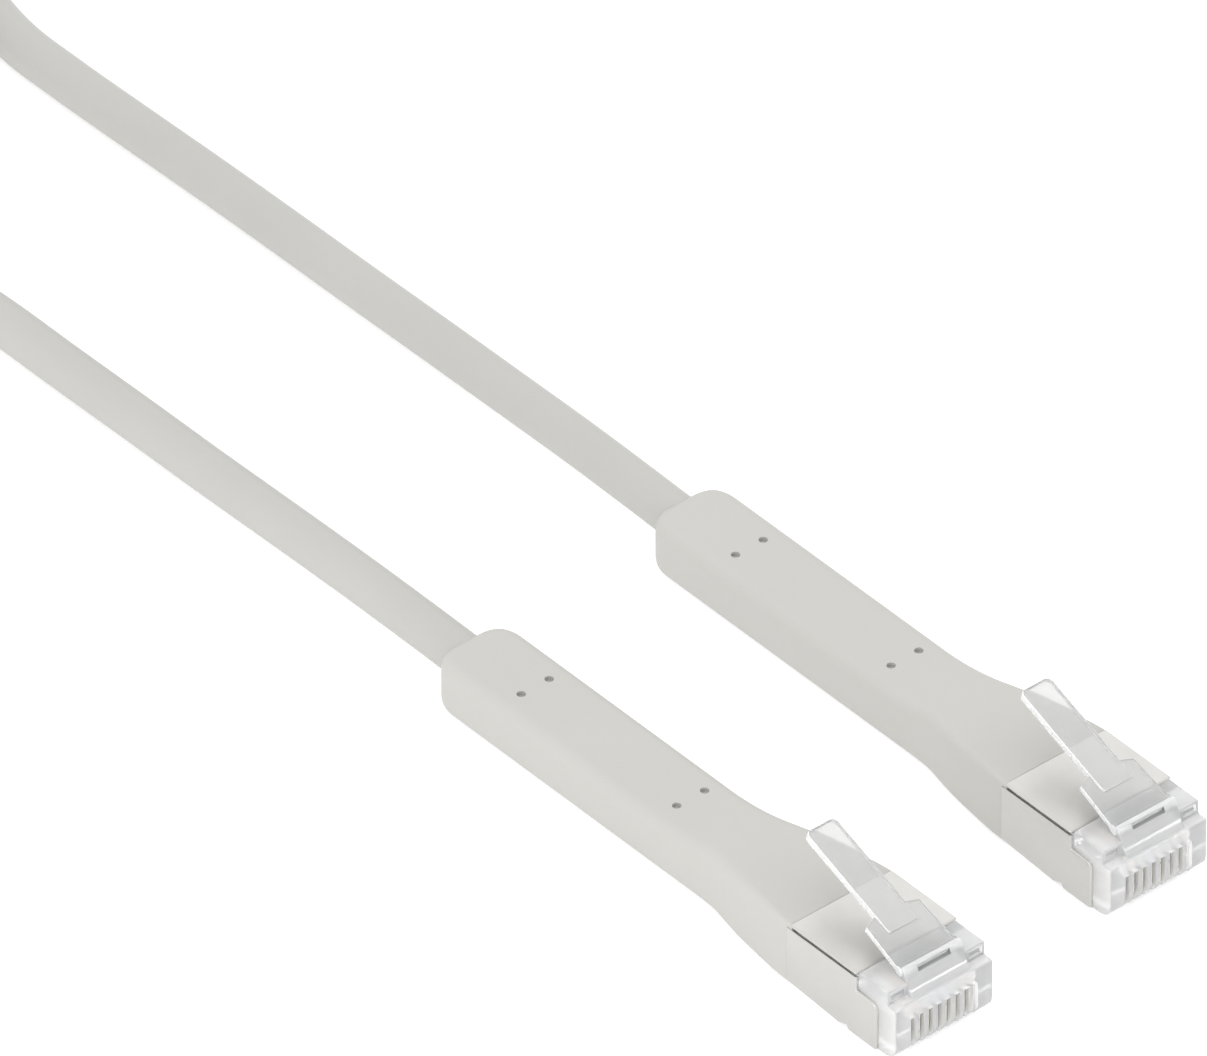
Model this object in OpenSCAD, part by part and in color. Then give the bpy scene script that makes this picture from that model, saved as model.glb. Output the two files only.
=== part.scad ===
// Shielded patch cable: two plugs with long flat boots on one slim round cord.
// Each end lies along +X with its nose forward. The part stands on the plane z = 0.

/* [Cord] */
// Diameter of the cord
cord_d = 4.2; // [3.8:0.1:4.4]
// Gap between a bore and what runs in it
fit = 0.05; // [0.02:0.01:0.08]

/* [Layout] */
// Distance between the centre lines of the two ends
end_pitch = 26.8; // [16:0.1:40]
// How far end a lies ahead of end b
end_stagger = 2.5; // [0:0.1:10]

/* [Boot] */
// Length of the boot
boot_len = 50.4; // [50:0.1:56]
// Width of the boot's flat part
boot_w = 8.4; // [8:0.1:10]
// Thickness of the boot's flat part
boot_t = 5.6; // [5.4:0.1:6]
// Radius of the boot's long edges
boot_edge_r = 1.1; // [0.5:0.1:1.6]
// Radius of the boot's rear corners, seen from above
boot_corner_r = 2.2; // [1.2:0.1:3]
// Height of the cord's axis above the middle of the boot
cord_rise = 0.4; // [0:0.05:0.45]
// Length of the flared front that grips the plug
flare_len = 14.4; // [14:0.1:15]
// Diameter of the mould-pin holes
pin_hole_d = 0.9; // [0.6:0.1:1.2]
// Depth of the mould-pin holes
pin_hole_depth = 0.5; // [0.3:0.1:0.6]
// Distance between the two holes of a pair
pin_hole_pitch = 3.2; // [2.8:0.1:4]
// Distance from the boot's rear end to the rear pair
rear_holes_x = 9.5; // [7:0.1:10]
// Distance between the two pairs
hole_pairs_pitch = 20.5; // [20.2:0.1:22]

/* [Bend] */
// Distance from the boot's rear end to the first bend
bend_x = 14; // [12:0.5:15]
// Distance between bends
bend_step = 7; // [6.8:0.1:7]
// Travel of each bend, each way
bend_travel = 22.5; // [10:0.5:25]
// Gap between neighbouring boot links
link_gap = 0.1; // [0.06:0.01:0.2]

/* [Plug] */
// Width over the shield
plug_w = 11.68; // [11.4:0.02:12]
// Height over the shield
plug_h = 6.95; // [6.6:0.05:7.1]
// Height of the plug's underside above the floor
plug_lift = 0.15; // [0:0.05:0.4]
// Visible length of the shield's top plate
shield_len = 8.5; // [8:0.1:9]
// Wall of the shield
shield_t = 0.25; // [0.2:0.01:0.3]
// How far the side plates run past the top plate
cheek_len = 2.4; // [1.5:0.1:2.8]
// How far the side plates' forward part lies below the top
cheek_drop = 1.9; // [1.5:0.1:2.4]
// Width of the gap where the shield is folded
fold_gap = 0.28; // [0.15:0.01:0.35]
// Length of the clear nose past the shield's top plate
nose_len = 5; // [4.8:0.1:5.6]
// Depth of the step in the nose's front
nose_step = 1.1; // [0.8:0.1:1.3]
// Height of that step below the nose's top
nose_step_h = 1.4; // [1:0.1:1.6]

/* [Contacts] */
// Distance between contacts
contact_pitch = 1.02; // [1:0.01:1.04]
// Width of a contact slot
slot_w = 0.5; // [0.44:0.02:0.56]
// Thickness of a contact blade
blade_t = 0.3; // [0.24:0.02:0.36]
// Height of the slots
slot_h = 3.8; // [3.6:0.1:3.9]
// Diameter of an insulated wire
wire_d = 0.7; // [0.6:0.02:0.72]

/* [Latch] */
// Width of the latch at its root
latch_w = 6.65; // [6:0.05:7]
// Width of the latch's thumb part
latch_tip_w = 3.4; // [3:0.05:4]
// Length of the latch from its hinge line
latch_len = 15.4; // [13:0.1:16]
// Length of the latch's wide part, its sloping shoulders included
latch_wide_len = 5.5; // [4:0.1:6]
// How far each side of the wide part draws in on its way to the shoulder
latch_taper = 0.25; // [0:0.05:0.6]
// Length of a shoulder's slope
shoulder_len = 0.5; // [0.2:0.1:1.2]
// Thickness of the latch
latch_t = 0.8; // [0.7:0.05:0.9]
// Angle at which the free latch stands above the plug
latch_angle = 21; // [20.5:0.1:26]

/* [Coil] */
// Mean diameter of the coiled cord
coil_d = 43; // [42:1:50]
// Distance from the origin back to the coil's centre
coil_back = 158; // [158:1:190]

/* [Hidden] */
$fn = 48;
eps = 0.01;
far = 20;

boot_mid = boot_t / 2;
axis_z = boot_mid + cord_rise;
link_slope = tan(bend_travel / 2);
bends = [for (i = [0:3]) bend_x + i * bend_step];
contact_count = 8;

plug_z0 = plug_lift;
plug_z1 = plug_lift + plug_h;
seam_x = boot_len;
shield_x = seam_x + shield_len;
cheek_x = shield_x + cheek_len;
nose_x = shield_x + nose_len;
total_len = nose_x;

// Underside of the plug: it rises a little from the belly towards the boot
belly_x = seam_x + 6;
belly_rise = 0.4;
shield_floor_x = belly_x + 1.1;
notch_x = belly_x - 0.15;
notch_len = 1.85;
notch_h = 0.5;

// The shield's neck, which the boot grips
neck_len = 6.4;
neck_w = 9.4;
neck_z0 = plug_z0 + 0.85;
neck_z1 = plug_z1 - 0.85;
neck_x = seam_x - neck_len;

// Jacket end, folded-back screen and ferrule
jacket_x = neck_x - 0.2;
screen_t = 0.1;
screen_len = 4.2;
ferrule_t = 0.2;
ferrule_len = 4.6;
screen_r = cord_d / 2 + fit / 2 + screen_t;
ferrule_r = screen_r + fit / 2 + ferrule_t;

// Wires: a ring where they leave the jacket, then a flat row
ring_r = 1.27;
wire_row_z = plug_z0 + slot_h + 0.05 + wire_d / 2;
fan_x = seam_x - 0.2;
wire_end_x = nose_x - 1.3;
bar_x = seam_x + 1.6;
bar_len = 4.5;
bar_w = contact_pitch * contact_count + 0.3;
bar_h = wire_d + 0.8;

// Blades
blade_x = nose_x - 3.9;
blade_front = 0.5;
blade_recess = 0.4;

// Hinge line of the latch
knuckle_r = 0.5;
pivot_x = nose_x - 2.3;
pivot_z = plug_z1 + knuckle_r;
root_wall_x = nose_x - nose_step;
root_wall_z = pivot_z + 0.65;
root_slot_w = 3.7;
root_slot_h = 0.45;
ear_depth = 0.3;
ear_pocket_w = 1.6;
ear_pocket_h = 0.8;
ear_z = plug_z1 - 1.2;
nose_top = plug_z1 - fit;

// Coil: three strands on the floor, and two in the hollows between them
strands_wide = 3;
coil_play = 0.2;
coil_w = strands_wide * cord_d + coil_play;
coil_h = cord_d * (1 + sin(60)) + coil_play;
tie_t = 0.5;
tie_angle = 14;
coil_z = tie_t + fit;
coil_x = -coil_back;

end_x = [-(total_len - end_stagger) / 2, -(total_len + end_stagger) / 2];
end_y = [-end_pitch / 2, end_pitch / 2];

// Route of the cord behind end a and end b: from the boot to the coil
route_a = [
    [end_x[0], end_y[0], axis_z], [-36, -13.35, 3.2], [-45, -13.25, 3.1], [-55, -13.2, 2.9], [-65, -13.2, 2.7],
    [-75, -13.1, 2.5], [-85, -13.05, 2.3], [-95, -13.05, 2.2], [-105, -13.7, 2.2], [-115, -15.4, 2.6],
    [-125, -18.2, 3.8], [-135, -21, 5.3], [-145, -22.8, 6.7], [-152, -23.4, 6.8],
    [coil_x, -(coil_d + cord_d) / 2, coil_z + coil_h - cord_d / 2]
];
route_b = [
    [end_x[1], end_y[1], axis_z], [-38, 13.5, 3.2], [-47, 13.7, 3.1], [-57, 13.8, 2.9], [-67, 13.88, 2.7],
    [-77, 13.93, 2.5], [-87, 13.95, 2.4], [-97, 13.9, 2.3], [-107, 13.75, 2.2], [-117, 13.65, 2.1],
    [-123, 13.75, 2.1], [-129, 14.9, 2.1], [-135, 17.4, 2.15], [-141, 20.4, 2.25], [-147, 23.3, 2.4],
    [-152.5, 25.2, 2.55], [coil_x, coil_d / 2 + cord_d, coil_z + cord_d / 2]
];
tube_sides = 12;

END_NODES = [
    "boot_rear", "boot_link_1", "boot_link_2", "boot_link_3", "boot_front",
    "jacket_rear", "jacket_link_1", "jacket_link_2", "jacket_link_3", "jacket_front",
    "screen_collar", "ferrule", "shield", "plug_housing", "load_bar", "contact_blades",
    "orange_pair", "green_pair", "blue_pair", "brown_pair", "latch"
];

// ---- helpers ----

// Places a piece at end 0 (a) or 1 (b)
module at_end(i) {
    translate([end_x[i], end_y[i], 0]) children();
}

// A side outline, in x and z, made w wide across the centre line
module across(w) {
    translate([0, w / 2, 0]) rotate([90, 0, 0]) linear_extrude(height = w) children();
}

// A round bar along X from x0 to x1 on the cord's axis
module along_axis(x0, x1, r) {
    translate([x0, 0, axis_z]) rotate([0, 90, 0]) cylinder(h = x1 - x0, r = r);
}

// A square with round corners, from corner to corner
module round_rect(x0, y0, x1, y1, r) {
    translate([x0 + r, y0]) square([x1 - x0 - 2 * r, y1 - y0]);
    translate([x0, y0 + r]) square([x1 - x0, y1 - y0 - 2 * r]);
    for (x = [x0 + r, x1 - r], y = [y0 + r, y1 - r]) translate([x, y]) circle(r);
}

// A bar along X whose cross-section is w wide, from z0 to z1, with round edges
module round_bar(x0, x1, w, z0, z1, r) {
    translate([x0, 0, 0]) rotate([90, 0, 90]) linear_extrude(height = x1 - x0)
        round_rect(-w / 2, z0, w / 2, z1, r);
}

// Side outline between two bends: each end is pointed at the middle of the boot
module link_outline(x0, x1) {
    back = link_slope * boot_mid;
    half_gap = link_gap / 2;
    polygon([
        [x0 + half_gap, boot_mid], [x0 + half_gap + back, boot_t], [x1 - half_gap - back, boot_t],
        [x1 - half_gap, boot_mid], [x1 - half_gap - back, 0], [x0 + half_gap + back, 0]
    ]);
}

// Side outline of the piece behind the first bend
module rear_outline() {
    back = link_slope * boot_mid;
    x1 = bends[0] - link_gap / 2;
    polygon([[0, 0], [x1 - back, 0], [x1, boot_mid], [x1 - back, boot_t], [0, boot_t]]);
}

// Side outline of the piece ahead of the last bend, out to x1
module front_outline(x1) {
    back = link_slope * boot_mid;
    x0 = bends[3] + link_gap / 2;
    polygon([
        [x0 + back, -far], [x0 + back, 0], [x0, boot_mid], [x0 + back, boot_t], [x0 + back, far],
        [x1, far], [x1, -far]
    ]);
}

// The pair of blind mould-pin holes at x
module pin_holes(x) {
    for (side = [-1, 1]) translate([x, side * pin_hole_pitch / 2, boot_t - pin_hole_depth])
        cylinder(h = pin_hole_depth + 1, d = pin_hole_d, $fn = 24);
}

// ---- boot ----

module boot_rear() {
    color([0.80, 0.80, 0.78]) difference() {
        intersection() {
            round_bar(0, bends[0], boot_w, 0, boot_t, boot_edge_r);
            linear_extrude(height = boot_t)
                round_rect(0, -boot_w / 2, bends[0] + far, boot_w / 2, boot_corner_r);
            across(boot_w) rear_outline();
        }
        along_axis(-1, bends[0] + 1, cord_d / 2 + fit);
        pin_holes(rear_holes_x);
    }
}

module boot_link(k) {
    color([0.80, 0.80, 0.78]) difference() {
        intersection() {
            round_bar(bends[k - 1], bends[k], boot_w, 0, boot_t, boot_edge_r);
            across(boot_w) link_outline(bends[k - 1], bends[k]);
        }
        along_axis(bends[k - 1] - 1, bends[k] + 1, cord_d / 2 + fit);
        if (k == 3) pin_holes(rear_holes_x + hole_pairs_pitch);
    }
}

// Cross-sections of the flare: place, width, bottom and top
flare = [
    [seam_x - flare_len, boot_w, 0, boot_t],
    [seam_x - flare_len * 0.58, boot_w + (plug_w - boot_w) * 0.45, 0, boot_t + (plug_z1 - boot_t) * 0.75],
    [seam_x - flare_len * 0.27, boot_w + (plug_w - boot_w) * 0.82, 0.1, boot_t + (plug_z1 - boot_t) * 0.95],
    [seam_x, plug_w, plug_z0 + belly_rise, plug_z1]
];

module flare_section(i) {
    s = flare[i];
    thin = 0.02;
    x0 = min(s[0], seam_x - thin);
    round_bar(x0, x0 + thin, s[1], s[2], s[3], boot_edge_r, $fn = 32);
}

module boot_front() {
    color([0.80, 0.80, 0.78]) difference() {
        union() {
            intersection() {
                round_bar(bends[3], flare[0][0] + 0.02, boot_w, 0, boot_t, boot_edge_r);
                across(boot_w) front_outline(seam_x);
            }
            for (i = [0:2]) hull() {
                flare_section(i);
                flare_section(i + 1);
            }
        }
        along_axis(bends[3] - 1, seam_x, cord_d / 2 + fit);
        along_axis(neck_x - ferrule_len - 2 * fit, seam_x, ferrule_r + fit);
        translate([neck_x - fit, -neck_w / 2 - fit, neck_z0 - fit])
            cube([neck_len + 1, neck_w + 2 * fit, neck_z1 - neck_z0 + 2 * fit]);
    }
}

// ---- cord inside the boot ----

module jacket_rear() {
    color([0.82, 0.82, 0.80]) intersection() {
        along_axis(0, bends[0], cord_d / 2);
        across(boot_w) rear_outline();
    }
}

module jacket_link(k) {
    color([0.82, 0.82, 0.80]) intersection() {
        along_axis(bends[k - 1], bends[k], cord_d / 2);
        across(boot_w) link_outline(bends[k - 1], bends[k]);
    }
}

module jacket_front() {
    color([0.82, 0.82, 0.80]) intersection() {
        along_axis(bends[3], jacket_x, cord_d / 2);
        across(boot_w) front_outline(jacket_x);
    }
}

module screen_collar() {
    color([0.72, 0.73, 0.74]) difference() {
        along_axis(jacket_x - screen_len, jacket_x, screen_r);
        along_axis(jacket_x - screen_len - 1, jacket_x + 1, screen_r - screen_t);
    }
}

module ferrule() {
    color([0.74, 0.72, 0.66]) difference() {
        along_axis(neck_x - ferrule_len, neck_x, ferrule_r);
        along_axis(neck_x - ferrule_len - 1, neck_x + 1, ferrule_r - ferrule_t);
    }
}

// ---- plug ----

// Side outline of the plug from x0 to x1, drawn in by o
module plug_side(x0, x1, o) {
    polygon([
        [x0, plug_z0 + belly_rise + o], [belly_x, plug_z0 + o], [x1, plug_z0 + o],
        [x1, plug_z1 - o], [x0, plug_z1 - o]
    ]);
}

// Side outline of a side plate's forward part, with a round front corner
module cheek_side() {
    r = 0.5;
    top = plug_z1 - cheek_drop;
    translate([shield_x - 1, plug_z0]) square([cheek_len + 1, top - plug_z0 - r]);
    translate([shield_x - 1, plug_z0]) square([cheek_len + 1 - r, top - plug_z0]);
    translate([cheek_x - r, top - r]) circle(r);
}

// Side outline of the notch in the bottom edges, which rises forwards
module notch_side() {
    polygon([
        [notch_x, plug_z0 - 1], [notch_x, plug_z0], [notch_x + notch_len - 0.4, plug_z0 + notch_h],
        [notch_x + notch_len, plug_z0], [notch_x + notch_len, plug_z0 - 1]
    ]);
}

module shield() {
    inner_w = plug_w - 2 * shield_t;
    color([0.80, 0.78, 0.73]) difference() {
        union() {
            across(plug_w) plug_side(seam_x, shield_x, 0);
            across(plug_w) cheek_side();
            translate([neck_x, -neck_w / 2, neck_z0]) cube([neck_len + shield_t, neck_w, neck_z1 - neck_z0]);
        }
        across(inner_w) plug_side(seam_x + shield_t, cheek_x + 1, shield_t);
        across(inner_w) translate([shield_floor_x, plug_z0 - 1]) square([far, shield_t + 2]);
        across(inner_w) translate([shield_x, plug_z1 - cheek_drop - 1]) square([far, cheek_drop + 2]);
        translate([neck_x - 1, shield_t - neck_w / 2, neck_z0 + shield_t])
            cube([neck_len + 2, neck_w - 2 * shield_t, neck_z1 - neck_z0 - 2 * shield_t]);
        for (side = [-1, 1]) translate([seam_x + shield_t, side * plug_w / 2, plug_z1 - shield_t - fold_gap])
            translate([0, -2 * shield_t, 0]) cube([shield_len, 4 * shield_t, fold_gap]);
        across(plug_w + 1) notch_side();
    }
}

// Side outline of the clear nose: a stepped top and a round lower front corner
module nose_side() {
    r = 1.4;
    step_x = nose_x - nose_step;
    step_z = nose_top - nose_step_h;
    translate([shield_x, plug_z0]) square([step_x - shield_x, nose_top - plug_z0]);
    translate([shield_x, plug_z0]) square([nose_x - r - shield_x, step_z - plug_z0]);
    translate([shield_x, plug_z0 + r]) square([nose_x - shield_x, step_z - plug_z0 - r]);
    translate([nose_x - r, plug_z0 + r]) circle(r);
}

// Side outline of the wall ahead of the latch's hinge line
module root_wall_side() {
    r = 0.4;
    x0 = pivot_x + 0.2;
    translate([x0, nose_top - 0.5]) square([root_wall_x - x0, root_wall_z - r - nose_top + 0.5]);
    translate([x0, nose_top]) square([root_wall_x - r - x0, root_wall_z - nose_top]);
    translate([root_wall_x - r, root_wall_z - r]) circle(r);
}

// One slot for each contact
module contact_slots() {
    for (i = [0:contact_count - 1]) translate([
        blade_x - 0.2, contact_pitch * (i - (contact_count - 1) / 2) - slot_w / 2, plug_z0 - 1
    ]) cube([far, slot_w, slot_h + 1 + 0.1]);
}

module plug_housing() {
    inset = shield_t + fit / 2;
    body_w = plug_w - 2 * inset;
    ear_w = (body_w - latch_w) / 2;
    color([0.92, 0.93, 0.93, 0.5]) difference() {
        union() {
            across(body_w) plug_side(seam_x + inset, shield_x + eps, inset);
            across(body_w) nose_side();
            across(latch_w) root_wall_side();
        }
        translate([pivot_x, latch_w, pivot_z]) rotate([90, 0, 0])
            cylinder(h = 2 * latch_w, r = knuckle_r + fit);
        translate([root_wall_x - 0.5, -root_slot_w / 2, pivot_z]) cube([1, root_slot_w, root_slot_h]);
        for (side = [-1, 1])
            translate([root_wall_x - ear_depth, side * (body_w - ear_w) / 2 - ear_pocket_w / 2, ear_z])
                cube([1, ear_pocket_w, ear_pocket_h]);
        translate([seam_x, -bar_w / 2 - fit, wire_row_z - bar_h / 2 - fit])
            cube([bar_x + bar_len + fit - seam_x, bar_w + 2 * fit, bar_h + 2 * fit]);
        translate([seam_x, -bar_w / 2 + 0.2, wire_row_z - wire_d / 2 - fit])
            cube([wire_end_x + 0.1 - seam_x, bar_w - 0.4, wire_d + 2 * fit]);
        contact_slots();
    }
}

module load_bar() {
    color([0.90, 0.90, 0.86]) difference() {
        translate([bar_x, -bar_w / 2, wire_row_z - bar_h / 2]) cube([bar_len, bar_w, bar_h]);
        for (pin = [1:contact_count]) translate([bar_x - 1, wire_y(pin), wire_row_z])
            rotate([0, 90, 0]) cylinder(h = bar_len + 2, r = wire_d / 2 + fit, $fn = 24);
    }
}

module contact_blades() {
    z0 = plug_z0 + blade_recess;
    z1 = plug_z0 + slot_h;
    x1 = nose_x - blade_front;
    r = 0.6;
    color([0.86, 0.70, 0.33]) for (pin = [1:contact_count])
        translate([0, wire_y(pin) + blade_t / 2, 0]) rotate([90, 0, 0]) linear_extrude(height = blade_t) {
            translate([blade_x, z0]) square([x1 - r - blade_x, z1 - z0]);
            translate([blade_x, z0 + r]) square([x1 - blade_x, z1 - z0 - r]);
            translate([x1 - r, z0 + r]) circle(r, $fn = 24);
        }
}

// ---- wires ----

// Place across the plug of the wire on a pin, 1 to 8
function wire_y(pin) = contact_pitch * (pin - (contact_count + 1) / 2);

// Angle on the jacket's ring from which a pin's wire leaves
ring_angle = [145, 215, 111, 249, 69, 291, 35, 325];

module wire(pin) {
    a = ring_angle[pin - 1];
    start = [jacket_x, ring_r * cos(a), axis_z + ring_r * sin(a)];
    tube([
        start, start + [wire_d, 0, 0],
        [fan_x, wire_y(pin), wire_row_z], [wire_end_x, wire_y(pin), wire_row_z]
    ], wire_d);
}

module wire_pair(pins, tint) {
    color(tint) for (pin = pins) wire(pin);
}

// ---- latch ----

// The lever lies back along -X from its hinge line, before it is raised
module latch() {
    r = 0.6;
    shoulder_x = latch_wide_len - shoulder_len;
    color([0.92, 0.93, 0.93, 0.5]) translate([pivot_x, 0, pivot_z]) rotate([0, latch_angle, 0]) {
        translate([0, latch_w / 2, 0]) rotate([90, 0, 0]) cylinder(h = latch_w, r = knuckle_r);
        translate([0, 0, -latch_t / 2]) linear_extrude(height = latch_t) {
            polygon([
                [0, -latch_w / 2], [0, latch_w / 2], [-shoulder_x, latch_w / 2 - latch_taper],
                [-latch_wide_len, latch_tip_w / 2], [-latch_wide_len, -latch_tip_w / 2],
                [-shoulder_x, latch_taper - latch_w / 2]
            ]);
            round_rect(-latch_len, -latch_tip_w / 2, -latch_wide_len + latch_tip_w / 2, latch_tip_w / 2, r);
        }
    }
}

// ---- free cord ----

// Direction of a route at point i
function route_dir(r, i) = let (v = r[min(i + 1, len(r) - 1)] - r[max(i - 1, 0)]) v / norm(v);

// Points of the ring of a tube of diameter d at point i, square to the route
function ring_at(r, i, d) =
    let (f = route_dir(r, i), s = cross(f, [0, 0, 1]) / norm(cross(f, [0, 0, 1])), u = cross(s, f))
    [for (k = [0:tube_sides - 1])
        r[i] + d / 2 * (cos(360 * k / tube_sides) * s + sin(360 * k / tube_sides) * u)];

// Faces of the tube: the wall between rings, and a cap on each end
function tube_faces(n) = concat(
    [[for (k = [0:tube_sides - 1]) k]],
    [for (i = [0:n - 2], k = [0:tube_sides - 1])
        let (a = i * tube_sides + k, b = i * tube_sides + (k + 1) % tube_sides)
        [a, a + tube_sides, b + tube_sides, b]],
    [[for (k = [tube_sides - 1:-1:0]) (n - 1) * tube_sides + k]]
);

module tube(route, d) {
    polyhedron([for (i = [0:len(route) - 1]) each ring_at(route, i, d)], tube_faces(len(route)), convexity = 4);
}

module cord(route) {
    color([0.82, 0.82, 0.80]) tube(route, cord_d);
}

// Outline of the coiled bundle's cross-section, grown by o
module coil_outline(o) {
    r = 2;
    reach = coil_w / 2 + o;
    round_rect(coil_d / 2 - reach, coil_z - o, coil_d / 2 + reach, coil_z + coil_h + o, r + o);
}

module cord_coil() {
    color([0.82, 0.82, 0.80]) translate([coil_x, 0, 0]) rotate_extrude($fn = 96) coil_outline(0);
}

module coil_tie() {
    color([0.25, 0.25, 0.25]) translate([coil_x, 0, 0]) rotate([0, 0, 180 - tie_angle / 2])
        rotate_extrude(angle = tie_angle, $fn = 96) difference() {
            coil_outline(fit + tie_t);
            coil_outline(fit);
        }
}

// ---- drawing ----

ends = ["_a", "_b"];
for (i = [0:1]) at_end(i) {
    boot_rear();
    for (k = [1:3]) boot_link(k);
    boot_front();
    jacket_rear();
    for (k = [1:3]) jacket_link(k);
    jacket_front();
    screen_collar();
    ferrule();
    shield();
    plug_housing();
    load_bar();
    contact_blades();
    wire_pair([1, 2], [0.90, 0.55, 0.25]);
    wire_pair([3, 6], [0.35, 0.65, 0.40]);
    wire_pair([4, 5], [0.30, 0.45, 0.75]);
    wire_pair([7, 8], [0.50, 0.35, 0.25]);
    latch();
}
cord(route_a);  // cord_a
cord(route_b);  // cord_b
cord_coil();
coil_tie();
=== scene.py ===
import math

import bpy
import numpy as np
from mathutils import Matrix, Vector


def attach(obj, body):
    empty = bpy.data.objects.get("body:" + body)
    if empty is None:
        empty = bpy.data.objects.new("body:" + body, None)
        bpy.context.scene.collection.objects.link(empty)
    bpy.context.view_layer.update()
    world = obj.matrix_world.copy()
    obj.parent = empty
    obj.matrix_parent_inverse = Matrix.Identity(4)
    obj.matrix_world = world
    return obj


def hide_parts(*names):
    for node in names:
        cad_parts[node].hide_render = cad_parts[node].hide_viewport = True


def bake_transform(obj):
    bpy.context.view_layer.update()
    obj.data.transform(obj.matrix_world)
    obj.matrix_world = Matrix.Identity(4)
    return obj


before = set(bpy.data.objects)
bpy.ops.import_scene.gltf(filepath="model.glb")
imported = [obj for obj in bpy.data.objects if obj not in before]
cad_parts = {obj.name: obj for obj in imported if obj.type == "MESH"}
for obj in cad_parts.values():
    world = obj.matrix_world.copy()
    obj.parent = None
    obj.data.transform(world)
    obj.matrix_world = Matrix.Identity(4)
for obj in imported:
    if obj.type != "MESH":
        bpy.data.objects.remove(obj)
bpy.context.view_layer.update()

# ---- Camera ----
# It looks down on the two plugs from their front, off to one side, through a very long
# lens, so the two ends of the cable look the same size and their edges run parallel.
azimuth, elevation = math.radians(49.34), math.radians(38.77)
lens, sensor, view_width = 1400.0, 36.0, 0.10508
rightward = Vector((math.cos(azimuth), math.sin(azimuth), 0))
level = math.cos(elevation)
backward = Vector((math.sin(azimuth) * level, -math.cos(azimuth) * level, math.sin(elevation)))
upward = backward.cross(rightward)
aim_right, aim_up = -0.01803, 0.02277
aim = aim_right * rightward + aim_up * upward
eye = aim + backward * lens * view_width / sensor
camera = bpy.data.objects.new("camera", bpy.data.cameras.new("camera"))
camera.data.lens, camera.data.sensor_width = lens, sensor
camera.matrix_world = Matrix.Translation(eye) @ Matrix((rightward, upward, backward)).transposed().to_4x4()
bpy.context.scene.collection.objects.link(camera)
bpy.context.scene.camera = camera


# ---- Cord ----
# One round PVC-jacketed cord runs from the rear of one boot to the rear of the other. It
# leaves each boot level, sags to the table, and its spare length is wound in a flat coil.
cord_radius = 0.0021
route_a = np.array([
    [-30.7, -13.4, 3.2], [-36, -13.35, 3.2], [-45, -13.25, 3.1], [-55, -13.2, 2.9], [-65, -13.2, 2.7],
    [-75, -13.1, 2.5], [-85, -13.05, 2.3], [-95, -13.05, 2.2], [-105, -13.7, 2.2], [-115, -15.4, 2.6],
    [-125, -18.2, 3.8], [-135, -21, 5.3], [-145, -22.8, 6.7], [-152, -23.4, 6.8],
]) * 0.001
route_b = np.array([
    [-33.2, 13.4, 3.2], [-38, 13.5, 3.2], [-47, 13.7, 3.1], [-57, 13.8, 2.9], [-67, 13.88, 2.7],
    [-77, 13.93, 2.5], [-87, 13.95, 2.4], [-97, 13.9, 2.3], [-107, 13.75, 2.2], [-117, 13.65, 2.11],
    [-123, 13.75, 2.11], [-129, 14.9, 2.11], [-135, 17.4, 2.16], [-141, 20.4, 2.26], [-147, 23.3, 2.4],
    [-152.5, 25.2, 2.55],
]) * 0.001

# The coil's middle and the height of its lowest strand, in mm.
coil_x, coil_z = -158, 2.68


def coil_line():
    """Four and a half turns round (-0.158, 0). The strand lies in three lanes on the table and two in the
    hollows above them. In the same 120 degrees of each turn it passes to the next lane: inwards on the
    table, then rolling over its neighbour, then outwards on top. Radius and height come from the angle."""
    pitch, lane, first_pass, pass_angle = 4.25, 21.5, 285, 120
    angle = np.arange(90, 1711, 7.5)
    turn = np.clip(np.floor((angle - first_pass) / 360), 0, 3)
    share = np.clip((angle - first_pass - 360 * turn) / pass_angle, 0, 1)
    share = share * share * (3 - 2 * share)
    inner = lane - pitch * share
    roll = np.radians(180 - 120 * share)
    rise = pitch * math.sin(math.pi / 3)
    hump = rise + (pitch - rise) * np.clip(4 * np.minimum(share, 1 - share), 0, 1)
    radius = np.select([turn == 0, turn == 1, turn == 2],
                       [lane + pitch - pitch * share, inner, inner + pitch * np.cos(roll)],
                       lane - pitch / 2 + pitch * share)
    height = np.select([turn <= 1, turn == 2], [0 * share, pitch * np.sin(roll)], hump)
    around = np.radians(angle)
    return np.stack([coil_x + radius * np.cos(around), radius * np.sin(around), coil_z + height], 1) * 0.001


def smooth_line(points, step):
    """A cubic through the points: between two neighbours it is the Hermite cubic over their distance, with
    each point's slope taken from its neighbours. It is then cut again at equal steps of its own length."""
    gap = np.linalg.norm(np.diff(points, axis=0), axis=1)
    run = np.concatenate([[0], np.cumsum(gap)])
    slope = np.gradient(points, run, axis=0)
    fine = np.linspace(0, run[-1], int(4 * run[-1] / step))
    i = np.clip(np.searchsorted(run, fine, side="right") - 1, 0, len(gap) - 1)
    h, s = gap[i][:, None], ((fine - run[i]) / gap[i])[:, None]
    line = ((2 * s**3 - 3 * s**2 + 1) * points[i] + (s**3 - 2 * s**2 + s) * h * slope[i]
            + (3 * s**2 - 2 * s**3) * points[i + 1] + (s**3 - s**2) * h * slope[i + 1])
    along = np.concatenate([[0], np.cumsum(np.linalg.norm(np.diff(line, axis=0), axis=1))])
    even = np.linspace(0, along[-1], int(along[-1] / step))
    return np.stack([np.interp(even, along, line[:, c]) for c in range(3)], 1)


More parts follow.
